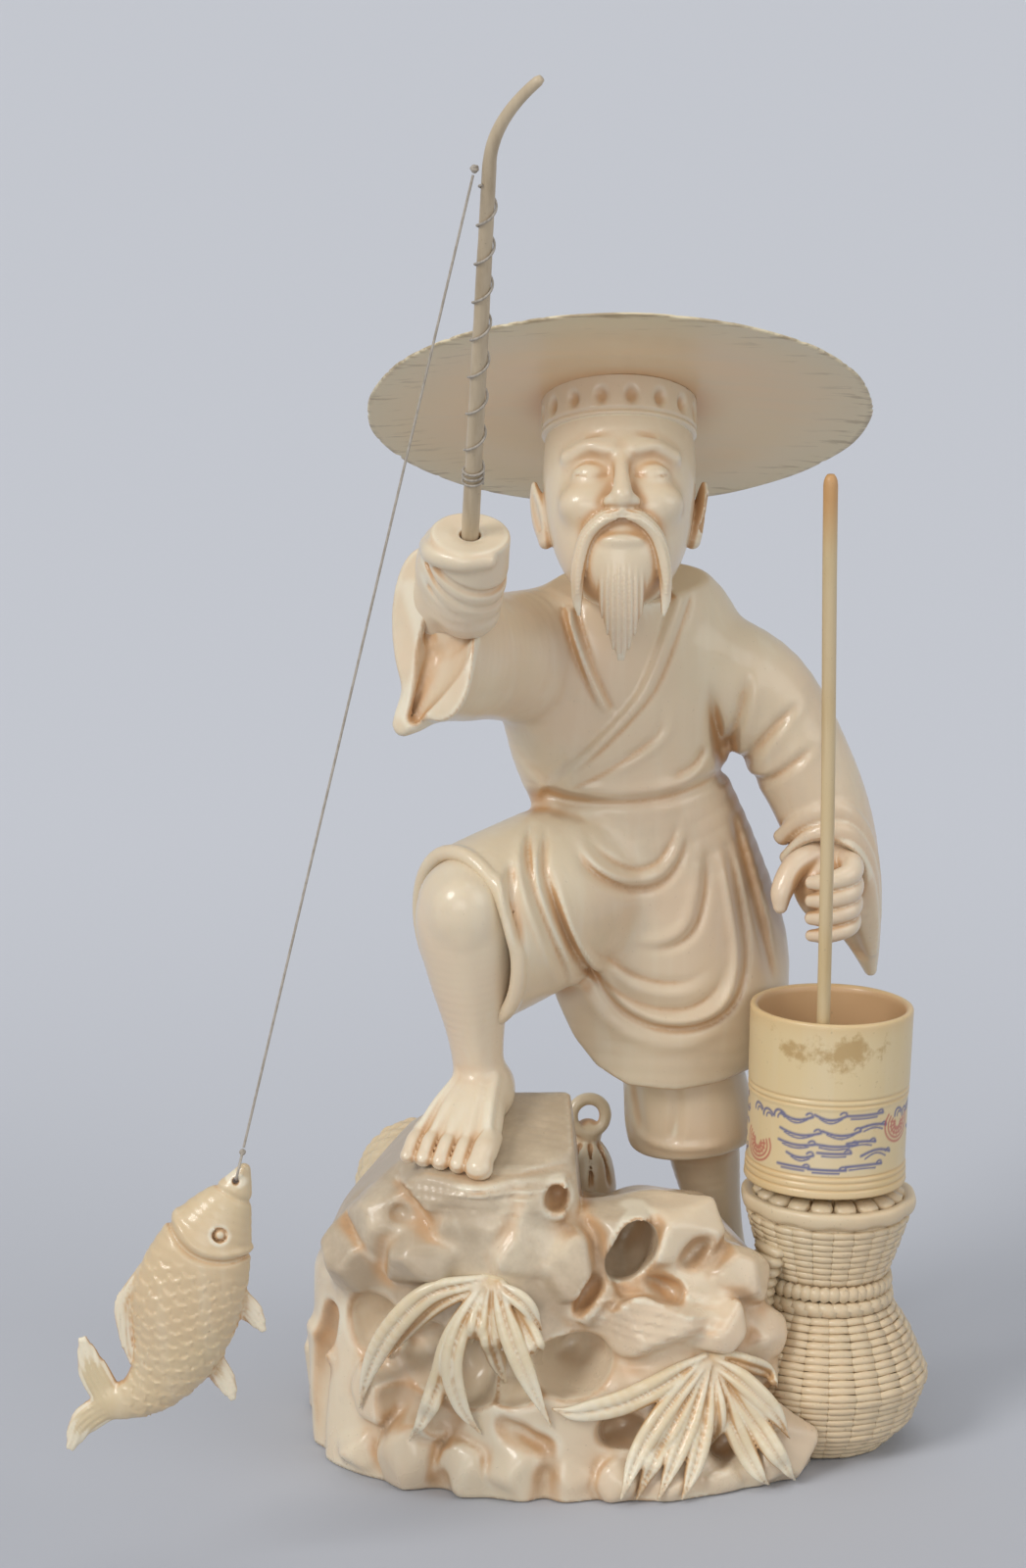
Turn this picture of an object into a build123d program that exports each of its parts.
from build123d import *
import os
from math import asin, cos, degrees, pi, radians, sin, sqrt

# Every size is in millimetres or degrees. The rock stands on z = 0, the front is towards -Y
# and x = 0, y = 0 lies under the middle of the rock.

# Rock
rock_width = 86.0
rock_depth = 80.0
front_ledge_height = 57.5
front_ledge_slope = 18.0
shelf_height = 49.0
rear_ledge_height = 17.0
hollow_radius = 4.6
knob_radius = 4.6
ridge_thickness = 6.4
grass_length = 26.0
grass_width = 2.3

# Legs and feet
foot_length = 24.0
foot_width = 11.5
knee_rise = 38.0
knee_radius = 8.4
ankle_radius = 4.3
left_leg_length = 47.0
cuff_width = 22.5

# Robe
skirt_length = 45.5
torso_length = 28.0
skirt_width = 42.0
waist_width = 32.0
chest_width = 43.0
thigh_height = 31.0
cloth_thickness = 1.5
apron_drop = 38.5
apron_width = 33.0
fold_height = 0.7
hem_rise = 16.0
collar_rise = 8.0

# Arms and hands
right_sleeve_drop = 30.0
left_sleeve_length = 58.0
sleeve_width = 18.5
fist_height = 15.0
finger_radius = 2.0
thumb_radius = 2.3

# Head and hat
head_width = 25.0
head_depth = 26.5
head_height = 27.0
head_tilt = 25.0
beard_length = 15.0
ear_height = 9.0
band_height = 5.6
hat_diameter = 83.5
hat_thickness = 1.5
hat_rise = 5.0
hat_tip_back = 4.0

# Creel and its lid
creel_height = 44.0
creel_belly_diameter = 36.0
creel_waist_diameter = 18.0
creel_rim_diameter = 29.0
creel_foot_diameter = 21.0
creel_lean = 1.5
slat_count = 18

# Cup and stick
cup_height = 30.0
cup_diameter = 27.2
cup_wall = 1.3
cup_floor_thickness = 2.2
stick_length = 119.0
stick_diameter = 2.5

# Rod, thread and carp
rod_length = 78.5
rod_tip_length = 16.0
rod_butt_diameter = 2.9
rod_tip_diameter = 1.6
rod_lean = 29.4
rod_depth_in_fist = 11.0
thread_diameter = 0.4
thread_drop = 149.5
thread_angle = 13.5
winding_pitch = 6.8
carp_length = 50.0
carp_depth = 17.2
carp_thickness = 10.0

# Pegs and fits
peg_diameter = 2.6
peg_depth = 5.0
glue_gap = 0.12
sliding_gap = 0.3

# Places that follow from the sizes above
hem_z = rear_ledge_height + left_leg_length
waist_z = hem_z + skirt_length
shoulder_z = waist_z + torso_length
neck_z = shoulder_z + collar_rise
rock_top = front_ledge_height + 4.0

right_sole = Location((-13.6, -21.0, front_ledge_height + 1.0), (front_ledge_slope, 0, -13))
left_sole = Location((28.6, 12.5, rear_ledge_height), (0, 0, -22))
right_ankle = Vector(-13.3, -18.0, front_ledge_height + 10.0)
right_knee = Vector(-15.8, -22.5, front_ledge_height + knee_rise)
left_ankle = Vector(29.8, 11.5, rear_ledge_height + 8.0)
left_cuff = Vector(23.2, 8.0, hem_z - 15.5)
hip = Vector(9.0, 3.5, hem_z + 0.72 * skirt_length)
neck_radius = 0.3 * head_width
neck_root = Vector(9.8, -1.5, neck_z - 2.0)
head_centre = neck_root + Vector(-0.4, -7.0, 4.0 + 0.42 * head_height)
head_place = Location(head_centre, (-head_tilt, 0, 0))
fist_centre = Vector(-15.0, -40.8, shoulder_z + 16.5)
rod_direction = Vector(0.048, -sin(radians(rod_lean)), cos(radians(rod_lean))).normalized()
creel_place = Location((44.0, -11.0, 0), (0, creel_lean, 0))
from_base = (Align.CENTER, Align.CENTER, Align.MIN)


def oval(centre, normal, half_across, half_along, across=(1, 0, 0)):
    """A closed oval face about a centre, its first half width near the direction across."""
    normal = Vector(normal).normalized()
    across = Vector(across) - normal * Vector(across).dot(normal)
    plane = Plane(origin=centre, x_dir=across, z_dir=normal)
    turns = [2 * pi * i / 8 for i in range(8)]
    ring = [plane.from_local_coords((half_across * cos(a), half_along * sin(a), 0)) for a in turns]
    return make_face(Spline(*ring, periodic=True))


def limb(stations, across=(1, 0, 0), normal=None, grow=0.0):
    """A loft through ovals; each station is centre, half width, half depth."""
    centres = [Vector(s[0]) for s in stations]
    sections = []
    for i, (centre, half_across, half_along) in enumerate(stations):
        ahead = centres[min(i + 1, len(centres) - 1)] - centres[max(i - 1, 0)]
        facing = normal if normal is not None else ahead
        sections.append(oval(centre, facing, half_across + grow, half_along + grow, across))
    return loft(sections)


def between(start, end, part):
    """The point that lies the given part of the way from start to end."""
    return Vector(start) + (Vector(end) - Vector(start)) * part


def peg(centre, direction, grow=0.0, end_gap=0.0):
    """A dowel half on either side of its centre, or the bore for one."""
    plane = Plane(origin=centre, z_dir=direction)
    return plane * Cylinder(peg_diameter / 2 + grow, 2 * peg_depth + 2 * end_gap)


def ellipsoid(centre, half_x, half_y, half_z, turn=(0, 0, 0)):
    return Location(centre, turn) * scale(Sphere(1.0), by=(half_x, half_y, half_z))


def turned(profile, start, end):
    """A solid of revolution about the line from start to end; profile is part of the way, radius."""
    axis = Plane(origin=start, z_dir=Vector(end) - Vector(start))
    length = (Vector(end) - Vector(start)).length
    points = [(radius, part * length) for part, radius in profile]
    side = Spline(*points)
    rest = Polyline(points[-1], (0, points[-1][1]), (0, points[0][1]), points[0])
    return axis * revolve(Plane.XZ * make_face([side] + list(rest.edges())), Axis.Z)


def foot():
    """A bare foot on the plane z = 0 of its own, toes towards -Y."""
    half = foot_width / 2
    stations = [
        ((0.3, 0.36 * foot_length, 2.6), 2.6, 3.4),
        ((0.2, 0.22 * foot_length, 3.4), 3.9, 4.6),
        ((0, 0.0, 3.4), 4.2, 4.6),
        ((-0.4, -0.2 * foot_length, 2.4), 0.86 * half, 3.6),
        ((-0.6, -0.42 * foot_length, 1.7), half, 2.6),
        ((-0.6, -0.56 * foot_length, 1.3), 0.94 * half, 1.9),
    ]
    shape = limb(stations, normal=(0, -1, 0))
    for i in range(5):
        x = half * (0.72 - 0.36 * i)
        radius = (2.0, 1.55, 1.45, 1.35, 1.2)[i]
        shape += Location((x - 0.6, -0.58 * foot_length + 0.35 * i, 1.2)) * Sphere(radius)
    below = Location((0, 0, -10)) * Box(60, 60, 20)
    return shape - below


def right_shin_shape(grow=0.0):
    """The bare leg from the bent knee to below the ankle, turned about the shin."""
    low = right_ankle - Vector(0, -0.5, 5.0)
    top = right_knee + (right_knee - low).normalized() * (0.9 * knee_radius)
    profile = [
        (0.0, 1.15 * ankle_radius + grow),
        (0.14, ankle_radius + grow),
        (0.34, 1.14 * ankle_radius + grow),
        (0.6, 0.84 * knee_radius + grow),
        (0.82, knee_radius + grow),
        (1.0, 0.55 * knee_radius + grow),
    ]
    return turned(profile, low, top)


def left_trouser_shape():
    half = cuff_width / 2
    stations = [
        (Vector(20.6, 7.0, hem_z), 0.92 * half, 0.86 * half),
        (between((20.6, 7.0, hem_z), left_cuff, 0.5), 0.95 * half, 0.9 * half),
        (left_cuff, half, 0.94 * half),
    ]
    return limb(stations, normal=(0, 0, 1))


def left_shin_shape():
    profile = [
        (0.0, 1.25 * ankle_radius),
        (0.2, ankle_radius),
        (0.45, 1.1 * ankle_radius),
        (0.75, 1.45 * ankle_radius),
        (1.0, 1.5 * ankle_radius),
    ]
    return turned(profile, left_ankle - Vector(0.6, 0, 5.0), left_cuff + Vector(0.4, 0, 5.0))


right_shoulder = Vector(-4.4, -5.4, shoulder_z - 4.0)
right_shoulder_out = Vector(-0.6, -0.8, 0)
left_shoulder = Vector(25.0, 2.0, shoulder_z - 5.0)
left_shoulder_out = Vector(1, 0, 0)


def right_sleeve_shape():
    half = sleeve_width / 2
    drop = right_sleeve_drop / 2
    inner = right_shoulder - right_shoulder_out * 3.0
    sections = [
        oval(inner, right_shoulder_out, 1.12 * half, 0.78 * drop, (1, -0.75, 0)),
        oval((-11.0, -16.0, shoulder_z - 2.5), (-0.5, -0.85, 0.1), half, 0.78 * drop, (1, -0.6, 0.1)),
        oval((-16.0, -26.0, shoulder_z), (-0.4, -0.9, 0.2), 0.9 * half, 0.86 * drop, (1, -0.5, 0.2)),
        oval((-20.5, -36.5, shoulder_z + 4.0), (-0.4, -0.9, 0.2), 0.7 * half, drop, (1, -0.5, 0.25)),
    ]
    return loft(sections)


def left_sleeve_shape():
    half = sleeve_width / 2
    drop = left_sleeve_length
    inner = left_shoulder - left_shoulder_out * 3.0
    hanging = (0.3, 0.2, -0.93)
    sections = [
        oval(inner, left_shoulder_out, 1.1 * half, 1.05 * half, (0, 0, 1)),
        oval((33.0, 3.0, shoulder_z - 0.2 * drop), (0.8, 0, -0.6), half, half, (0.6, 0, 0.8)),
        oval((41.0, 3.4, shoulder_z - 0.41 * drop), (0.5, 0, -0.86), 0.9 * half, half, (0.86, 0, 0.5)),
        oval((46.4, 3.6, shoulder_z - 0.64 * drop), (0.35, 0.1, -0.93), 0.78 * half, 0.9 * half, (1, 0, 0.4)),
        oval((51.0, 6.0, shoulder_z - 0.86 * drop), hanging, 0.42 * half, 0.5 * half, (1, 0, 0.3)),
        oval((53.6, 8.0, shoulder_z - drop - 3.0), hanging, 0.12 * half, 0.16 * half, (1, 0, 0.3)),
    ]
    return loft(sections)


def neck_shape():
    top = head_centre + Vector(0, 2.5, -0.25 * head_height)
    shaft = Plane(origin=neck_root + Vector(0, 0, 2.6), z_dir=top - neck_root)
    collar = Cylinder(neck_radius, 6.0)
    column = Cylinder(0.94 * neck_radius, (top - neck_root).length, align=from_base)
    return Location(neck_root + Vector(0, 0, 1.0)) * collar + shaft * column


def crag(levels, wobble, lobes, phase):
    """A lofted lump of rock; each level is x, y, z, half width, half depth."""
    sections = []
    for x, y, z, half_width, half_depth in levels:
        ring = []
        for i in range(12):
            a = 2 * pi * i / 12
            reach = 1 + wobble * cos(lobes * a + phase + 0.03 * z)
            ring.append((x + half_width * reach * cos(a), y + half_depth * reach * sin(a), z))
        sections.append(make_face(Spline(*ring, periodic=True)))
    return loft(sections)


def grass_tuft(root, facing, count, first, last, reach):
    """Curved blades in relief that spring from one root and droop to either side."""
    blades = []
    for i in range(count):
        a = radians(first + (last - first) * i / (count - 1))
        length = grass_length * reach * (0.85 + 0.15 * cos(3 * i))
        tip = Vector(length * cos(a), length * sin(a) - 0.25 * length)
        side = Vector(-sin(a), cos(a)) * (grass_width / 2)
        bow = between((0, 0), tip, 0.5) + Vector(0, 0.16 * length)
        upper = ThreePointArc(side, bow + side * 1.2, tip)
        lower = ThreePointArc(tip, bow - side * 1.2, side * -1)
        outline = make_face([upper, lower, Line(side * -1, side)])
        blades.append(Plane(origin=root, x_dir=(1, 0, 0), z_dir=facing) * extrude(outline, 9.0))
    return blades


def creel_outline(grow=0.0):
    """Half outline of the creel from its foot to its rim, as radius and height."""
    belly = creel_belly_diameter / 2 + grow
    waist = creel_waist_diameter / 2 + grow
    rim = creel_rim_diameter / 2 + grow
    foot_radius = creel_foot_diameter / 2 + grow
    return [
        (foot_radius, -3.0),
        (foot_radius, 0.0),
        (0.86 * belly, 0.12 * creel_height),
        (belly, 0.29 * creel_height),
        (0.8 * belly, 0.47 * creel_height),
        (waist, 0.63 * creel_height),
        (0.84 * rim, 0.82 * creel_height),
        (rim, creel_height),
    ]


def creel_solid(grow=0.0):
    points = creel_outline(grow)
    side = Spline(*points[1:])
    outline = Polyline((points[-1][0], points[-1][1]), (0, creel_height), (0, -3.0), points[0], points[1])
    half = Plane.XZ * make_face([side] + list(outline.edges()))
    shape = revolve(half, Axis.Z)
    for rise in (0.6, 0.66):
        shape += Location((0, 0, rise * creel_height)) * Torus(creel_waist_diameter / 2, 1.4 + grow)
    return creel_place * shape


def basket_shape(grow=0.0):
    """A round basket on its side behind the rock."""
    profile = [(0.0, 7.5 + grow), (0.25, 11.0 + grow), (0.6, 11.8 + grow), (1.0, 8.0 + grow)]
    return turned(profile, (-25.0, 4.0, 37.0), (-22.5, 22.0, 37.0))


def pouch_shape(grow=0.0):
    """A small bag on the rear of the rock, narrow at its neck."""
    profile = [
        (0.0, 3.4 + grow),
        (0.26, 5.8 + grow),
        (0.55, 5.2 + grow),
        (0.86, 2.5 + grow),
        (1.0, 2.8 + grow),
    ]
    return turned(profile, (4.2, 15.6, 30.5), (5.1, 16.4, 46.0))


def helix_path(start, end, radius_at, pitch_at):
    """Tangent arcs, two to each quarter turn, that wind round the z axis."""
    samples = []
    angle = 0.0
    height = start
    while height < end:
        radius = radius_at(height)
        rise = pitch_at(height) / (2 * pi)
        point = Vector(radius * cos(angle), radius * sin(angle), height)
        tangent = Vector(-radius * sin(angle), radius * cos(angle), rise).normalized()
        samples.append((point, tangent))
        angle += pi / 2
        height += pitch_at(height) / 4
    edges = []
    for (p0, t0), (p1, t1) in zip(samples, samples[1:]):
        chord = p1 - p0
        a = 2 * (t0.dot(t1) - 1)
        b = -2 * chord.dot(t0 + t1)
        c = chord.dot(chord)
        reach = (-b - sqrt(b * b - 4 * a * c)) / (2 * a)
        middle = (p0 + t0 * reach + p1 - t1 * reach) * 0.5
        turn = (p1 - t1 * reach) - (p0 + t0 * reach)
        edges.append(TangentArc(p0, middle, tangent=t0))
        edges.append(TangentArc(middle, p1, tangent=turn))
    first_point, first_tangent = samples[0]
    last_point, last_tangent = samples[-1]
    lead = Line(first_point - first_tangent * thread_diameter, first_point)
    tail = Line(last_point, last_point + last_tangent * thread_diameter)
    return Wire([lead] + edges + [tail]), [s[0] for s in samples]


# Head, with its neck, in one
head_half = head_width / 2
depth_half = head_depth / 2
crown_z = 0.48 * head_height
head_levels = [
    ((0, -6.0, -0.52 * head_height), 0.36 * head_half, 0.34 * depth_half),
    ((0, -3.2, -0.38 * head_height), 0.68 * head_half, 0.68 * depth_half),
    ((0, -0.6, -0.15 * head_height), 0.9 * head_half, 0.92 * depth_half),
    ((0, 0.4, 0.1 * head_height), head_half, depth_half),
    ((0, 0.5, 0.34 * head_height), 0.99 * head_half, 0.98 * depth_half),
    ((0, 0.5, crown_z), 0.94 * head_half, 0.94 * depth_half),
]
skull = limb(head_levels, normal=(0, 0, 1))
tenon_radius = 0.58 * head_half
skull += Location((0, 0.5, crown_z + 1.5)) * Cylinder(tenon_radius, 5.0)
for side in (-1, 1):
    ear_at = (side * 0.98 * head_half, 1.6, -0.03 * head_height)
    skull += ellipsoid(ear_at, 1.7, 2.9, ear_height / 2, (8, side * 10, 0))
    whisker = [
        ((side * 1.2, -depth_half + 0.6, -0.27 * head_height), 1.5, 1.2),
        ((side * 4.6, -depth_half + 1.8, -0.36 * head_height), 1.3, 1.2),
        ((side * 6.6, -depth_half + 3.6, -0.5 * head_height), 0.9, 0.9),
        ((side * 7.0, -depth_half + 5.2, -0.62 * head_height), 0.35, 0.35),
    ]
    skull += limb(whisker, across=(0, 0, 1))
skull += ellipsoid((0, -depth_half + 0.6, -0.09 * head_height), 2.3, 2.6, 4.2, (-12, 0, 0))
beard = [
    ((0, -8.6, -0.4 * head_height), 5.0, 3.2),
    ((0, -6.6, -0.4 * head_height - 0.38 * beard_length), 4.2, 2.8),
    ((0, -3.8, -0.4 * head_height - 0.72 * beard_length), 2.7, 2.0),
    ((0, -1.6, -0.4 * head_height - beard_length), 0.8, 0.7),
]
skull += limb(beard)
head = head_place * skull + neck_shape()

# Hat band and hat, which tips back a little further than the head
band_radius = 1.02 * head_half
band = Cylinder(band_radius, band_height + 3.0, align=from_base)
dimple_ring = PolarLocations(band_radius + 0.7, 16)
dimples = [Location((0, 0, 0.5 * band_height)) * spot * Sphere(1.5) for spot in dimple_ring]
band = band.cut(*dimples)
band = head_place * Location((0, 0.5, crown_z)) * band
tenon_bore = Location((0, 0.5, crown_z + 1.5)) * Cylinder(tenon_radius + glue_gap, 5.0 + 2 * glue_gap)
band -= head_place * tenon_bore
hat_place = head_place * Location((0, 0.5, crown_z + band_height), (-hat_tip_back, 0, 0))
above_band = hat_place * Location((0, 0, 15)) * Box(60, 60, 30)
band -= above_band
hat_radius = hat_diameter / 2
brim_drop = 2.0
hat_line = [
    (0, 0),
    (band_radius + 1.0, 0),
    (hat_radius - 0.5, -brim_drop),
    (hat_radius, -brim_drop + 0.4 * hat_thickness),
    (hat_radius - 0.5, -brim_drop + hat_thickness),
    (0.5 * hat_radius, 0.55 * hat_rise),
    (0.14 * hat_radius, hat_rise),
    (0, hat_rise),
]
hat = hat_place * revolve(Plane.XZ * make_face(Polyline(*hat_line, close=True)), Axis.Z)

# Limbs, which meet the robe on flat faces
thigh_end = right_knee + Vector(1.2, 2.6, -5.0)
thigh_line = (thigh_end - hip).normalized()
knee_plane = Plane(origin=thigh_end - thigh_line * 4.0, z_dir=thigh_line)
behind_knee = knee_plane * Location((0, 0, -15)) * Box(60, 60, 30)
right_leg = (right_shin_shape() - behind_knee) + right_sole * foot()
cuff_half = cuff_width / 2 - cloth_thickness
cuff_hollow = extrude(oval(left_cuff - Vector(0, 0, 1.0), (0, 0, 1), cuff_half, 0.92 * cuff_half), 4.0)
left_leg = (left_trouser_shape() - cuff_hollow) + left_shin_shape() + left_sole * foot()
inner_block = Location((0, 0, -15)) * Box(60, 60, 30)
right_sleeve = right_sleeve_shape()
right_sleeve -= Plane(origin=right_shoulder, z_dir=right_shoulder_out) * inner_block
left_sleeve = left_sleeve_shape()
left_sleeve -= Plane(origin=left_shoulder, z_dir=left_shoulder_out) * inner_block

# Right hand, a fist closed round the rod
fist_plane = Plane(origin=fist_centre, x_dir=(1, 0, 0), z_dir=rod_direction)
finger_ring = 2 * finger_radius + 0.3
fist = Cylinder(finger_ring + 0.6 * finger_radius, fist_height - 2.0)
for i in range(4):
    z = -fist_height / 2 + (i + 0.5) * fist_height / 4
    fist += Location((0, 0, z)) * Torus(finger_ring, finger_radius)
fist += ellipsoid((-2.6, 3.6, -0.5), 5.6, 5.2, 0.5 * fist_height)
thumb = [
    ((-6.2, 1.0, 0.3 * fist_height), thumb_radius, thumb_radius),
    ((-4.4, -4.4, 0.42 * fist_height), thumb_radius, thumb_radius),
    ((0.4, -6.4, 0.44 * fist_height), 0.85 * thumb_radius, 0.85 * thumb_radius),
    ((3.6, -5.6, 0.42 * fist_height), 0.5 * thumb_radius, 0.5 * thumb_radius),
]
fist += limb(thumb, across=(0, 0, 1))
rod_butt = rod_butt_diameter / 2
bore_floor = fist_height / 2 - rod_depth_in_fist
bore = Cylinder(rod_butt + sliding_gap / 3, 40.0, align=from_base)
right_hand = fist_plane * (fist - Location((0, 0, bore_floor)) * bore)
wrist_start = fist_plane.from_local_coords((-2.6, 3.6, -0.25 * fist_height))
wrist_end = wrist_start + Vector(-3.0, 8.0, -10.0)
wrist_plane = Plane(origin=wrist_start, z_dir=wrist_end - wrist_start)
wrist_radius = 4.8


def wrist_pin(plane, length, grow=0.0):
    return plane * Cylinder(wrist_radius + grow, length + grow, align=from_base)


wrist_length = (wrist_end - wrist_start).length
right_hand += wrist_pin(wrist_plane, wrist_length)
fist_reach = 0.5 * fist_height + 2.4
right_sleeve -= fist_plane * Location((-1.2, 0.8, 0)) * Sphere(fist_reach)
right_sleeve -= wrist_pin(wrist_plane, wrist_length, glue_gap)

# Left hand, fingers curled inside the cuff
palm_centre = Vector(43.6, -4.2, shoulder_z - 0.72 * left_sleeve_length)
left_wrist = Plane(origin=palm_centre, z_dir=(0.35, 0.75, 0.8))
left_hand = ellipsoid(palm_centre + Vector(0.8, 0.8, -0.8), 5.6, 4.4, 7.0, (0, -10, 0))
left_hand += wrist_pin(left_wrist, 11.0)
for i in range(4):
    knuckle = palm_centre + Vector(4.2, -2.0, 3.4 - 3.0 * i)
    finger = [
        (knuckle, finger_radius, finger_radius),
        (knuckle + Vector(-0.4, -4.2, -0.8), 0.92 * finger_radius, 0.92 * finger_radius),
        (knuckle + Vector(-4.4, -5.2, -1.8), 0.8 * finger_radius, 0.8 * finger_radius),
        (knuckle + Vector(-7.2, -3.4, -2.2), 0.55 * finger_radius, 0.55 * finger_radius),
    ]
    left_hand += limb(finger, across=(0, 0, 1))
left_thumb = [
    (palm_centre + Vector(-2.0, -0.4, 4.5), thumb_radius, thumb_radius),
    (palm_centre + Vector(-5.0, -2.6, 2.4), 0.95 * thumb_radius, 0.95 * thumb_radius),
    (palm_centre + Vector(-7.0, -4.2, -1.2), 0.8 * thumb_radius, 0.8 * thumb_radius),
    (palm_centre + Vector(-7.2, -4.6, -4.0), 0.4 * thumb_radius, 0.4 * thumb_radius),
]
left_hand += limb(left_thumb, across=(0, 1, 0))
left_sleeve -= Location(palm_centre + Vector(-0.6, -2.0, 0)) * Sphere(9.6)
left_sleeve -= wrist_pin(left_wrist, 11.0, glue_gap)

# Robe, with the cloth over the raised thigh
skirt_half = skirt_width / 2
waist_half = waist_width / 2
chest_half = chest_width / 2
skirt_turn = (cos(radians(20)), sin(radians(20)), 0)
waist_oval = ((12.4, 3.5, waist_z), waist_half, 0.76 * waist_half)
skirt_levels = [
    ((17.5, 6.5, hem_z), 0.9 * skirt_half, 0.6 * skirt_half),
    ((17.6, 6.0, hem_z + 0.3 * skirt_length), skirt_half, 0.66 * skirt_half),
    ((15.2, 5.0, hem_z + 0.65 * skirt_length), 0.94 * skirt_half, 0.66 * skirt_half),
    waist_oval,
]
torso_levels = [
    waist_oval,
    ((10.6, 2.0, waist_z + 0.34 * torso_length), 0.9 * chest_half, 0.6 * chest_half),
    ((10.2, 1.0, waist_z + 0.68 * torso_length), chest_half, 0.62 * chest_half),
    ((11.0, 0.3, shoulder_z), 0.98 * chest_half, 0.58 * chest_half),
    ((10.4, -0.8, neck_z), 0.5 * chest_half, 0.46 * chest_half),
]
robe = limb(torso_levels, across=skirt_turn, normal=(0, 0, 1))
arm_block = Location((0, 0, 15)) * Box(40, 40, 30)
robe -= Plane(origin=right_shoulder, x_dir=(0, 0, 1), z_dir=right_shoulder_out) * arm_block
robe -= Plane(origin=left_shoulder, x_dir=(0, 0, 1), z_dir=left_shoulder_out) * arm_block
collar_bore = Cylinder(neck_radius + glue_gap, 20.0, align=from_base)
robe -= Location(neck_root - Vector(0, 0, 2.0 + glue_gap)) * collar_bore
skirt = limb(skirt_levels, across=skirt_turn, normal=(0, 0, 1))
hem_corner = ThreePointArc((-5.0, hem_rise), (1.4, 0.44 * hem_rise), (8.5, -1.0))
corner_line = Polyline((8.5, -1.0), (-20.0, -1.0), (-20.0, hem_rise), (-5.0, hem_rise))
corner = make_face([hem_corner] + list(corner_line.edges()))
front_view = Plane(origin=(0, 40.0, hem_z), x_dir=(1, 0, 0), z_dir=(0, -1, 0))
skirt -= front_view * extrude(corner, 80.0)
hanging_cloth = [
    (1.0, -2.5, 0.0, apron_width, apron_drop),
    (2.0, 0.5, 2.5, 0.78 * apron_width, 0.64 * apron_drop),
    (3.0, 2.0, 1.5, 0.58 * apron_width, 0.36 * apron_drop),
]
for layer, left, lean, wide, drop in hanging_cloth:
    grown = limb(skirt_levels, across=skirt_turn, normal=(0, 0, 1), grow=fold_height * layer)
    top = skirt_length - 2.5 - layer
    low = skirt_length - drop
    edge = Spline(
        (left, top),
        (left + 0.2 * wide, low + 0.34 * drop),
        (left + 0.62 * wide - lean, low),
        (left + wide, low + 0.3 * drop),
        (left + 0.9 * wide, top),
    )
    outline = make_face([edge, Line((left + 0.9 * wide, top), (left, top))])
    skirt += grown & (front_view * Location((0, 0, 38.0)) * extrude(outline, 40.0))
robe += skirt
thigh_half = thigh_height / 2
thigh = [
    (hip, 0.82 * thigh_half, 0.9 * thigh_half),
    (between(hip, thigh_end, 0.55), 0.84 * thigh_half, 0.98 * thigh_half),
    (thigh_end, 0.78 * thigh_half, thigh_half),
]
thigh_cloth = limb(thigh, across=(1, -0.8, 0))
hem_oval = oval(
    knee_plane.origin,
    thigh_line,
    0.78 * thigh_half - cloth_thickness,
    thigh_half - cloth_thickness,
    (1, -0.8, 0),
)
thigh_cloth -= extrude(hem_oval, 8.0, dir=thigh_line)
thigh_cloth -= right_shin_shape(glue_gap) - behind_knee
robe += thigh_cloth

# Rock with its ledges, hollows and grass
half_width = rock_width / 2
half_depth = rock_depth / 2
left_crag = crag(
    [
        (-6.0, -2.0, 0, half_width - 6, half_depth - 1.5),
        (-7.0, -3.0, 0.25 * rock_top, half_width - 7, half_depth - 3),
        (-10.0, -8.0, 0.52 * rock_top, 0.72 * half_width, 0.75 * half_depth),
        (-11.5, -13.0, 0.8 * rock_top, 0.5 * half_width, 0.6 * half_depth),
        (-11.5, -14.0, rock_top, 0.34 * half_width, 0.48 * half_depth),
    ],
    0.045,
    5,
    0.4,
)
right_crag = crag(
    [
        (18.0, -14.5, 0, 0.56 * half_width, 0.65 * half_depth),
        (17.0, -14.5, 0.4 * shelf_height, 0.47 * half_width, 0.57 * half_depth),
        (15.5, -15.5, 0.7 * shelf_height, 0.4 * half_width, 0.45 * half_depth),
        (10.0, -16.0, shelf_height, 0.22 * half_width, 0.3 * half_depth),
    ],
    0.05,
    4,
    1.1,
)
rear_crag = crag(
    [
        (8.0, 16.0, 0, 0.78 * half_width, 0.56 * half_depth),
        (8.0, 15.5, 0.6 * rear_ledge_height, 0.76 * half_width, 0.53 * half_depth),
        (8.0, 15.0, rear_ledge_height, 0.7 * half_width, 0.48 * half_depth),
    ],
    0.03,
    6,
    0.2,
)
rock = left_crag + right_crag + rear_crag
knobs = [
    ((31.2, -23.5, 31.0), 1.05),
    ((34.0, -24.6, 21.8), 0.85),
    ((-33.0, -21.5, 38.0), 1.35),
]
lumps = [Location(place, (40, 0, -110)) * Sphere(knob_radius * wide) for place, wide in knobs]
half_ridge = ridge_thickness / 2
ridge = [
    ((3.0, -26.5, 48.0), 0.9 * half_ridge, 0.9 * half_ridge),
    ((13.0, -25.5, 48.4), half_ridge, half_ridge),
    ((21.5, -23.5, 45.0), half_ridge, half_ridge),
    ((27.0, -23.5, 36.0), 0.9 * half_ridge, 0.9 * half_ridge),
]
shelf_lip = [
    ((5.0, -32.0, 29.4), 0.65 * half_ridge, 0.9 * half_ridge),
    ((14.0, -35.2, 27.8), 0.75 * half_ridge, half_ridge),
    ((25.0, -33.0, 27.0), 0.65 * half_ridge, 0.9 * half_ridge),
]
rock = rock.fuse(*lumps, limb(ridge, across=(0, 1, 0)), limb(shelf_lip, across=(0, 0, 1)))
rock -= right_sole * Location((0, 0, 20)) * Box(70, 34, 40)
rock -= left_sole * Location((2, -1, 20)) * Box(24, 36, 40)
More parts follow.
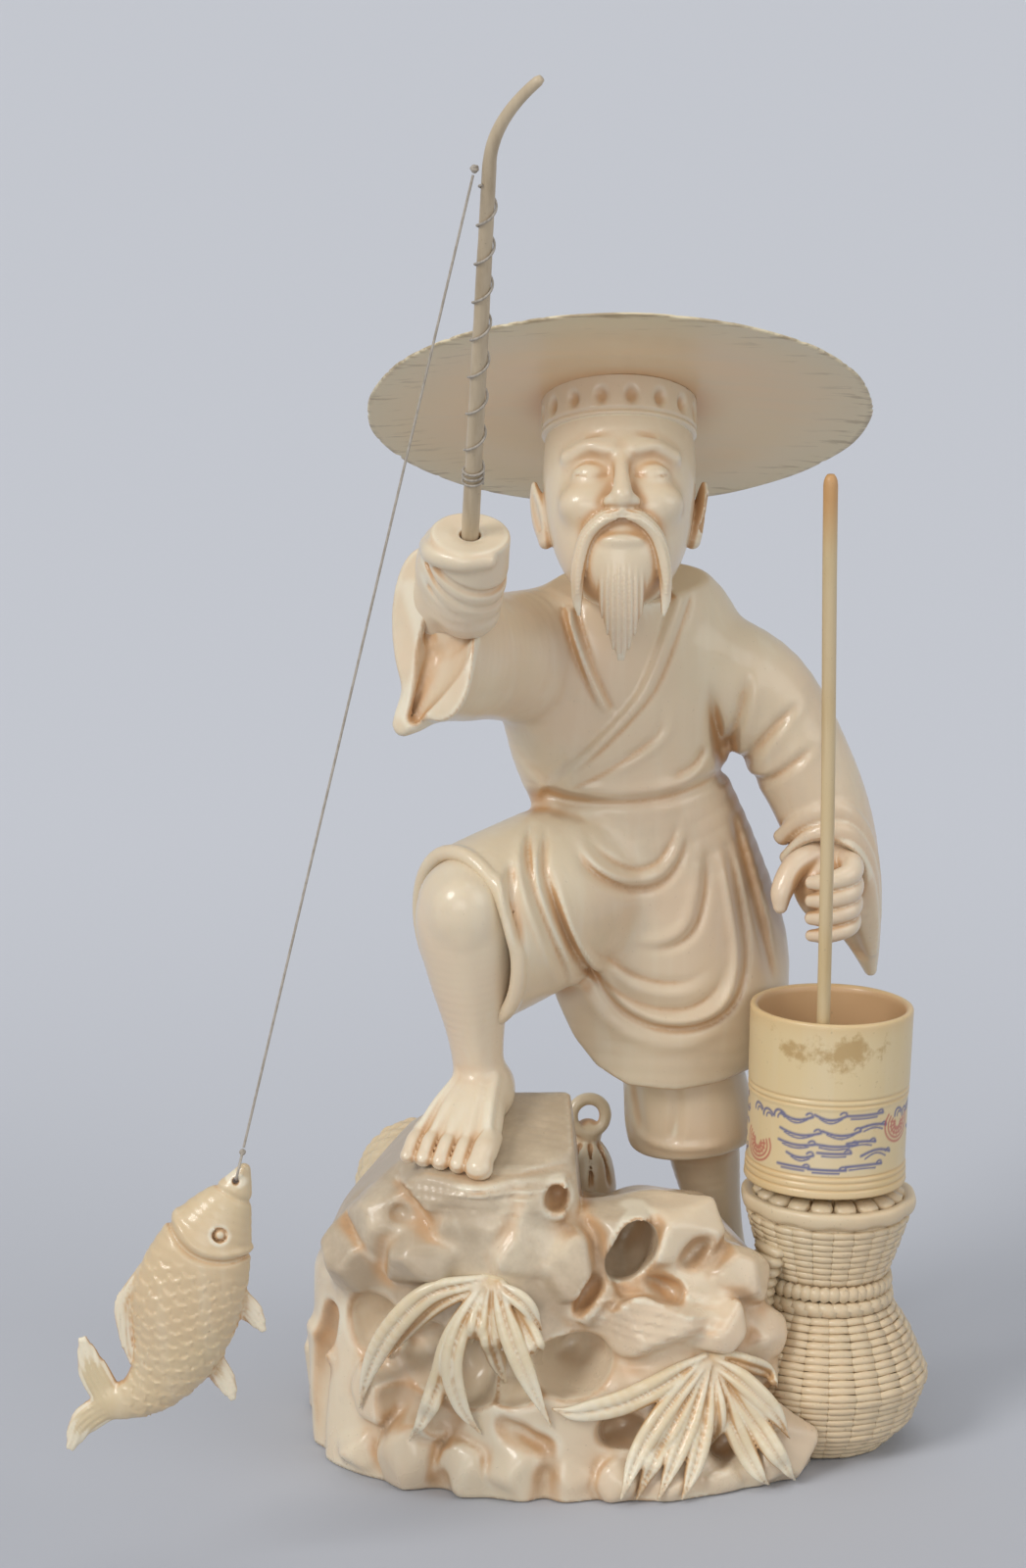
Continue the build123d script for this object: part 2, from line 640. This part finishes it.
hollows = [
    ((9.5, -30.0, 41.0), 1.15),
    ((-1.5, -33.0, 47.0), 0.6),
    ((1.0, -39.5, 22.0), 1.12),
    ((11.0, -41.0, 12.0), 1.05),
    ((27.5, -38.0, 9.5), 1.05),
    ((-33.0, -22.0, 30.0), 0.95),
    ((-30.0, -30.0, 12.0), 0.85),
    ((-24.0, -36.0, 25.4), 0.85),
    ((16.2, -36.6, 33.4), 0.6),
]
drills = [Location(place, (40, 0, -110)) * Sphere(hollow_radius * wide) for place, wide in hollows]
rock = rock.cut(*drills)
tufts = grass_tuft(Vector(-12.5, -28.4, 35.0), (-0.22, -1, 0.16), 5, -195, 10, 1.0)
tufts += grass_tuft(Vector(22.5, -29.4, 23.0), (0.12, -1, 0.12), 4, -185, 0, 0.75)
rock = rock.fuse(*tufts)
rock -= Location((0, 0, -10)) * Box(200, 200, 20)
rock -= creel_solid(sliding_gap)
basket = basket_shape()
pouch = pouch_shape()
loop_place = Plane(origin=(5.2, 15.2, 49.0), x_dir=(1, 0.2, 0), z_dir=(0.2, -1, 0.1))
pouch += loop_place * Torus(3.0, 1.1)
rock -= basket_shape(glue_gap)
rock -= pouch_shape(glue_gap)

# Creel with a twisted rope round its waist, and its lid
creel = creel_solid()
creel += creel_place * Location((0, 0, creel_height - 1.2)) * Torus(creel_rim_diameter / 2 - 0.9, 1.2)
creel -= Location((0, 0, -10)) * Box(200, 200, 20)
lid_radius = creel_rim_diameter / 2 - 2.2
seat_depth = 3.0
lid_rise = 2.4
seat = Cylinder(lid_radius + glue_gap, 20.0, align=from_base)
creel -= creel_place * Location((0, 0, creel_height - seat_depth)) * seat
lid_line = [
    (0, -seat_depth),
    (lid_radius, -seat_depth),
    (lid_radius, -0.8),
    (0.78 * lid_radius, lid_rise),
    (0, lid_rise),
]
lid = revolve(Plane.XZ * make_face(Polyline(*lid_line, close=True)), Axis.Z)
for spot in PolarLocations(lid_radius, slat_count):
    lid -= spot * Location((-0.3 * lid_radius, 0, lid_rise), (0, 22, 0)) * Box(lid_radius, 0.5, 2.4)
creel_lid = creel_place * Location((0, 0, creel_height)) * lid

# Cup with its floor let in, and the stick that leans on its front lip
cup_place = creel_place * Location((-0.8, 0, creel_height + lid_rise))
cup_radius = cup_diameter / 2
cup_line = [
    (cup_radius - cup_wall, 0),
    (cup_radius - 0.3, 0),
    (cup_radius, 0.5),
    (cup_radius - 0.15, 0.12 * cup_height),
    (cup_radius - 0.35, 0.14 * cup_height),
    (cup_radius - 0.35, 0.5 * cup_height),
    (cup_radius - 0.15, 0.52 * cup_height),
    (cup_radius, cup_height - 0.5),
    (cup_radius - 0.4 * cup_wall, cup_height),
    (cup_radius - cup_wall, cup_height - 0.4),
]
cup = cup_place * revolve(Plane.XZ * make_face(Polyline(*cup_line, close=True)), Axis.Z)
floor_disc = Cylinder(cup_radius - cup_wall - glue_gap, cup_floor_thickness)
cup_floor = cup_place * Location((0, 0, cup_floor_thickness / 2)) * floor_disc
stick_radius = stick_diameter / 2
lip_reach = cup_radius - cup_wall - stick_radius - sliding_gap
lip_point = (cup_place * Location((-2.4, -lip_reach, cup_height))).position
brim_side = lip_point.X - hat_place.position.X
brim_reach = sqrt(hat_radius * hat_radius - brim_side * brim_side)
brim_point = (hat_place * Location((brim_side, -brim_reach, -brim_drop))).position
stick_pass = brim_point - Vector(0.6, stick_radius + 4.0, 0)
stick_direction = (stick_pass - lip_point).normalized()
floor_normal = (cup_place * Location((0, 0, 1))).position - cup_place.position
floor_point = cup_place.position + floor_normal * cup_floor_thickness
run = (lip_point - floor_point).dot(floor_normal) / stick_direction.dot(floor_normal)
lean = degrees(asin(min(1.0, (stick_direction.cross(floor_normal)).length)))
foot_lift = stick_radius * sin(radians(lean)) + 0.02
stick_foot = lip_point - stick_direction * (run - foot_lift)
stick_plane = Plane(origin=stick_foot, z_dir=stick_direction)
stick = Cone(
    0.9 * stick_radius,
    stick_radius,
    stick_length - 1.0,
    align=from_base,
)
stick_end = Cone(stick_radius, 0.6 * stick_radius, 1.0, align=from_base)
stick += Location((0, 0, stick_length - 1.0)) * stick_end
stick = stick_plane * stick

# Rod, with its bent tip, and the thread wound round it
thread_radius = thread_diameter / 2
rod_foot = fist_plane.from_local_coords((0, 0, bore_floor + 0.05))
rod_plane = Plane(origin=rod_foot, x_dir=(1, 0, 0), z_dir=rod_direction)
rod_end = rod_butt - 0.62 * (rod_butt_diameter - rod_tip_diameter) / 2
rod = Cone(rod_butt, rod_end, rod_length, align=from_base)
tip_end = rod_tip_diameter / 2
tip = [
    ((0, 0, rod_length - 1.0), 0.9 * rod_end, 0.9 * rod_end),
    ((0.02 * rod_tip_length, 0, rod_length + 0.15 * rod_tip_length), 0.9 * rod_end, 0.9 * rod_end),
    ((0.14 * rod_tip_length, 0, rod_length + 0.5 * rod_tip_length), 0.86 * rod_end, 0.86 * rod_end),
    ((0.42 * rod_tip_length, 0, rod_length + 0.94 * rod_tip_length), tip_end, tip_end),
]
rod += limb(tip)
fishing_rod = rod_plane * rod
whip_start = rod_depth_in_fist + 10.0
whip_end = whip_start + 3.0
knot_height = rod_length - 0.6


def rod_radius_at(height):
    return rod_butt + (rod_end - rod_butt) * height / rod_length


def winding_radius_at(height):
    return rod_radius_at(height) + thread_radius + 0.06


def winding_pitch_at(height):
    return 1.0 if height < whip_end else winding_pitch


path, turns = helix_path(whip_start, knot_height - 2.0, winding_radius_at, winding_pitch_at)
start_plane = Plane(origin=path @ 0, z_dir=path % 0)
line_winding = rod_plane * sweep(start_plane * Circle(thread_radius), path=path)
least = min((turns[i + 4] - turns[i]).length for i in range(len(turns) - 4))
gap = least - thread_diameter
print(f"winding: {len(turns) / 4:.1f} turns, {path.length:.1f} mm long, least gap {gap:.2f} mm")

# Knot, hanging thread, loop and carp
knot_radius = 0.75
knot_reach = rod_radius_at(knot_height) + sliding_gap + knot_radius
knot_centre = rod_plane.from_local_coords((-knot_reach, 0, knot_height))
line_knot = Location(knot_centre) * Sphere(knot_radius)
fall = Vector(-sin(radians(thread_angle)), -0.013, -cos(radians(thread_angle))).normalized()
line_start = knot_centre + fall * (knot_radius + 0.15)
line_plane = Plane(origin=line_start, z_dir=fall)
fishing_line = line_plane * Cylinder(thread_radius, thread_drop, align=from_base)
line_end = line_start + fall * thread_drop
loop_knot_radius = 0.6
loop_radius = 2.0
loop_knot = line_end + fall * (loop_knot_radius + 0.15)
loop_centre = loop_knot + fall * (loop_knot_radius * 0.6 + loop_radius)
loop_plane = Plane(origin=loop_centre, x_dir=(0, 1, 0), z_dir=fall.cross(Vector(0, 1, 0)))
carp_loop = loop_plane * Torus(loop_radius, thread_radius) + Location(loop_knot) * Sphere(loop_knot_radius)
lip = loop_centre + fall * loop_radius
carp_place = Plane(origin=lip, x_dir=(1, 0, 0), z_dir=(0, -1, 0))
half_deep = carp_depth / 2
half_thick = carp_thickness / 2


def on_carp(along, rise):
    """A place in the carp's middle plane, in parts of its length from the lip."""
    return carp_place.from_local_coords((along * carp_length, rise * carp_length, 0))


body_line = [
    (on_carp(0.024, 0.03), 0.1 * half_deep, 0.16 * half_thick),
    (on_carp(-0.012, -0.05), 0.34 * half_deep, 0.42 * half_thick),
    (on_carp(-0.085, -0.185), 0.76 * half_deep, 0.86 * half_thick),
    (on_carp(-0.15, -0.37), half_deep, half_thick),
    (on_carp(-0.185, -0.53), 0.8 * half_deep, 0.84 * half_thick),
    (on_carp(-0.26, -0.655), 0.52 * half_deep, 0.56 * half_thick),
    (on_carp(-0.355, -0.71), 0.34 * half_deep, 0.36 * half_thick),
    (on_carp(-0.425, -0.71), 0.28 * half_deep, 0.2 * half_thick),
]
carp = limb(body_line, across=(1, 0, 0.2))
tail_lobes = [
    [(-0.4, -0.7, 0.26, 0.2), (-0.445, -0.61, 0.26, 0.16), (-0.475, -0.51, 0.1, 0.1)],
    [(-0.4, -0.72, 0.26, 0.2), (-0.48, -0.78, 0.24, 0.16), (-0.52, -0.86, 0.1, 0.1)],
]
fins = [
    [(0.0, -0.38, 0.22, 0.16), (0.045, -0.43, 0.2, 0.12), (0.075, -0.48, 0.07, 0.08)],
    [(-0.08, -0.58, 0.2, 0.16), (-0.04, -0.65, 0.18, 0.12), (-0.02, -0.7, 0.07, 0.08)],
    [(-0.29, -0.3, 0.1, 0.16), (-0.335, -0.42, 0.24, 0.12), (-0.33, -0.56, 0.08, 0.08)],
]
for lobe in tail_lobes + fins:
    stations = [(on_carp(s[0], s[1]), s[2] * half_deep, s[3] * half_thick) for s in lobe]
    carp += limb(stations, across=(1, 0, 0.2))
carp -= Plane(origin=lip, z_dir=(0, 1, 0)) * Cylinder(0.55, 8.0)

# Pegs that hold the fixed pieces, and their bores
sole_normal = (right_sole * Location((0, 0, 1))).position - right_sole.position
foot_up = Vector(0, 0, 1)
right_foot_at = (right_sole * Location((0, 2.0, 0))).position
left_foot_at = (left_sole * Location((0, 1.0, 0))).position
neck_at = neck_root - Vector(0, 0, 2.0)
hat_line_up = (hat_place * Location((0, 0, 1))).position - hat_place.position
hat_at = hat_place.position - hat_line_up * 2.0
creel_peg_at = Vector(45.0 - creel_belly_diameter / 2 - 0.3, -11.0, 0.2 * creel_height)

pegs = {
    "right_foot_peg": (right_foot_at, sole_normal),
    "left_foot_peg": (left_foot_at, foot_up),
    "neck_peg": (neck_at, foot_up),
    "right_shoulder_peg": (right_shoulder, right_shoulder_out),
    "left_shoulder_peg": (left_shoulder, left_shoulder_out),
    "hat_peg": (hat_at, hat_line_up),
    "creel_peg": (creel_peg_at, Vector(1, 0, 0)),
}


def bored(shape, *names):
    return shape.cut(*[peg(*pegs[name], 0.04, 0.3) for name in names])


pieces = {
    "rock_base": bored(rock, "right_foot_peg", "left_foot_peg", "creel_peg"),
    "robe": bored(robe, "neck_peg", "right_shoulder_peg", "left_shoulder_peg"),
    "right_sleeve": bored(right_sleeve, "right_shoulder_peg"),
    "left_sleeve": bored(left_sleeve, "left_shoulder_peg"),
    "right_leg": bored(right_leg, "right_foot_peg"),
    "left_leg": bored(left_leg, "left_foot_peg"),
    "head": bored(head, "neck_peg", "hat_peg"),
    "hat_band": bored(band, "hat_peg"),
    "hat": bored(hat, "hat_peg"),
    "right_hand": right_hand,
    "left_hand": left_hand,
    "creel": bored(creel, "creel_peg"),
    "creel_lid": creel_lid,
    "cup": cup,
    "cup_floor": cup_floor,
    "stick": stick,
    "fishing_rod": fishing_rod,
    "line_winding": line_winding,
    "line_knot": line_knot,
    "fishing_line": fishing_line,
    "carp_loop": carp_loop,
    "carp": carp,
    "bait_basket": basket,
    "pouch": pouch,
}
for name, (centre, direction) in pegs.items():
    pieces[name] = peg(centre, direction)

os.makedirs("parts", exist_ok=True)
for name, shape in pieces.items():
    solids = shape.solids()
    if len(solids) > 1:
        print(name, "solids:", [round(s.volume, 2) for s in solids])
    export_step(shape, f"parts/{name}.step")
    box = shape.bounding_box()
    low = [round(v, 1) for v in box.min]
    high = [round(v, 1) for v in box.max]
    print(f"{name}: {shape.volume:.1f} mm3, {low} to {high}")
